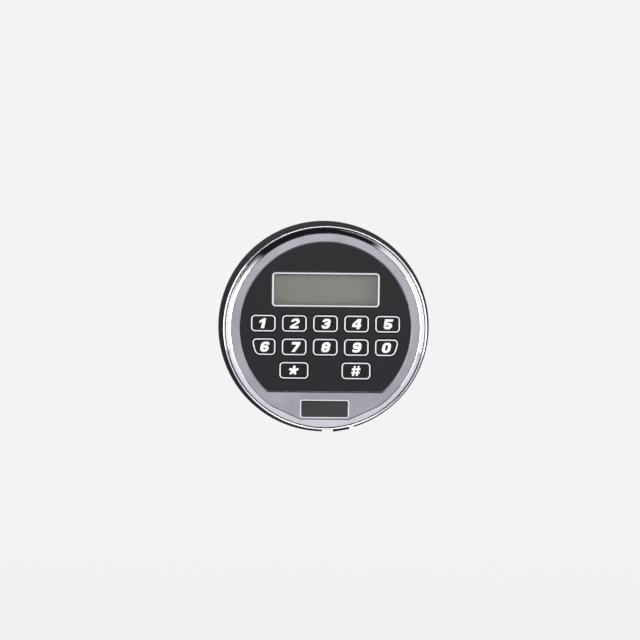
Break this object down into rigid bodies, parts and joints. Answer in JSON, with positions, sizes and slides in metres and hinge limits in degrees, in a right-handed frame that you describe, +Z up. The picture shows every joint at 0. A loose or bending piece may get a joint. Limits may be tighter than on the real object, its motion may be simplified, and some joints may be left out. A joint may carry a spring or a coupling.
{
  "type": "electronic cabinet lock",
  "caption": "Round knob-type electronic cabinet lock with keypad, small display and covered charging port, on a black base flange with a quarter-turn cam behind the door.",
  "frame": {"origin": "on the lock's axis, in the plane where the base flange meets the door", "axes": "+Z up and +X to the right as a user sees the lock, +Y into the door along the spindle"},
  "size_m": [0.1, 0.067, 0.1012],
  "materials": {
    "black_paint": "satin black",
    "black_plastic": "moulded, matt",
    "gasket_foam": "foam",
    "polished_chrome": "polished",
    "satin_chrome": "satin chrome on zinc alloy",
    "matt_black_panel": "matt black",
    "silver_line": "satin silver",
    "clear_window": "clear",
    "display_glass": "grey liquid crystal display",
    "grey_silicone": "matt",
    "port_rubber": "matt",
    "board_green": "solder mask",
    "zinc_plated_steel": "zinc plated",
    "spring_steel": "drawn wire",
    "nickel_plate": "nickel plated",
    "copper_winding": "enamelled copper wire",
    "cell_jacket": "printed jacket",
    "bush_bronze": "sintered bronze"
  },
  "bodies": {
    "base": {"base_flange": "black_paint", "base_gasket": "gasket_foam", "latch_spring": "spring_steel", "spindle_bush": "bush_bronze", "toothed_washer": "zinc_plated_steel", "mounting_nut": "zinc_plated_steel"},
    "knob": {"chrome_ring": "polished_chrome", "front_plate": "satin_chrome", "face_panel": "matt_black_panel", "display_frame": "silver_line", "display_window": "clear_window", "display_module": "display_glass", "key_mat": "grey_silicone", "main_board": "board_green", "buzzer": "black_plastic", "usb_socket": "zinc_plated_steel", "head_back": "black_plastic", "battery_cover_upper": "black_plastic", "battery_cover_lower": "black_plastic", "cell_1": "cell_jacket", "cell_2": "cell_jacket", "cell_3": "cell_jacket", "cell_4": "cell_jacket", "battery_contact_upper_left": "nickel_plate", "battery_contact_upper_right": "nickel_plate", "battery_contact_lower_left": "nickel_plate", "battery_contact_lower_right": "nickel_plate", "solenoid_frame": "zinc_plated_steel", "solenoid_coil": "copper_winding", "plunger_spring": "spring_steel", "head_screw_1": "zinc_plated_steel", "head_screw_2": "zinc_plated_steel", "head_screw_3": "zinc_plated_steel", "head_screw_4": "zinc_plated_steel", "spindle": "zinc_plated_steel", "spindle_screw_1": "zinc_plated_steel", "spindle_screw_2": "zinc_plated_steel", "stop_washer": "zinc_plated_steel", "locking_cam": "zinc_plated_steel", "spring_washer": "zinc_plated_steel", "cam_nut": "zinc_plated_steel"},
    "latch": {"release_latch": "black_paint"},
    "plunger": {"blocking_plunger": "zinc_plated_steel"},
    "cover": {"port_cover": "port_rubber"},
    "button_1": {"key_1": "matt_black_panel"},
    "button_2": {"key_2": "matt_black_panel"},
    "button_3": {"key_3": "matt_black_panel"},
    "button_4": {"key_4": "matt_black_panel"},
    "button_5": {"key_5": "matt_black_panel"},
    "button_6": {"key_6": "matt_black_panel"},
    "button_7": {"key_7": "matt_black_panel"},
    "button_8": {"key_8": "matt_black_panel"},
    "button_9": {"key_9": "matt_black_panel"},
    "button_0": {"key_0": "matt_black_panel"},
    "button_star": {"key_star": "matt_black_panel"},
    "button_hash": {"key_hash": "matt_black_panel"}
  },
  "joints": [
    {"name": "knob_turn", "type": "hinge", "parent": "base", "child": "knob", "pos_m": [0, 0, 0], "axis": [0, 1, 0], "range_deg": [0, 90]},
    {"name": "key_1_press", "type": "slide", "parent": "knob", "child": "button_1", "axis": [0, 1, 0], "range_m": [0, 0.0008], "stiffness_N_per_m": 1000},
    {"name": "key_2_press", "type": "slide", "parent": "knob", "child": "button_2", "axis": [0, 1, 0], "range_m": [0, 0.0008], "stiffness_N_per_m": 1000},
    {"name": "key_3_press", "type": "slide", "parent": "knob", "child": "button_3", "axis": [0, 1, 0], "range_m": [0, 0.0008], "stiffness_N_per_m": 1000},
    {"name": "key_4_press", "type": "slide", "parent": "knob", "child": "button_4", "axis": [0, 1, 0], "range_m": [0, 0.0008], "stiffness_N_per_m": 1000},
    {"name": "key_5_press", "type": "slide", "parent": "knob", "child": "button_5", "axis": [0, 1, 0], "range_m": [0, 0.0008], "stiffness_N_per_m": 1000},
    {"name": "key_6_press", "type": "slide", "parent": "knob", "child": "button_6", "axis": [0, 1, 0], "range_m": [0, 0.0008], "stiffness_N_per_m": 1000},
    {"name": "key_7_press", "type": "slide", "parent": "knob", "child": "button_7", "axis": [0, 1, 0], "range_m": [0, 0.0008], "stiffness_N_per_m": 1000},
    {"name": "key_8_press", "type": "slide", "parent": "knob", "child": "button_8", "axis": [0, 1, 0], "range_m": [0, 0.0008], "stiffness_N_per_m": 1000},
    {"name": "key_9_press", "type": "slide", "parent": "knob", "child": "button_9", "axis": [0, 1, 0], "range_m": [0, 0.0008], "stiffness_N_per_m": 1000},
    {"name": "key_0_press", "type": "slide", "parent": "knob", "child": "button_0", "axis": [0, 1, 0], "range_m": [0, 0.0008], "stiffness_N_per_m": 1000},
    {"name": "key_star_press", "type": "slide", "parent": "knob", "child": "button_star", "axis": [0, 1, 0], "range_m": [0, 0.0008], "stiffness_N_per_m": 1000},
    {"name": "key_hash_press", "type": "slide", "parent": "knob", "child": "button_hash", "axis": [0, 1, 0], "range_m": [0, 0.0008], "stiffness_N_per_m": 1000},
    {"name": "port_cover_swing", "type": "hinge", "parent": "knob", "child": "cover", "pos_m": [0, -0.0247, -0.0354], "axis": [-1, 0, 0], "range_deg": [0, 110]},
    {"name": "release_latch_push", "type": "slide", "parent": "base", "child": "latch", "axis": [-0.1754, 0, 0.9845], "range_m": [0, 0.003], "stiffness_N_per_m": 1000, "springref_m": -0.001, "deforming": ["latch_spring"]},
    {"name": "plunger_travel", "type": "slide", "parent": "knob", "child": "plunger", "axis": [0, 1, 0], "range_m": [0, 0.0036], "deforming": ["plunger_spring"]}
  ]
}
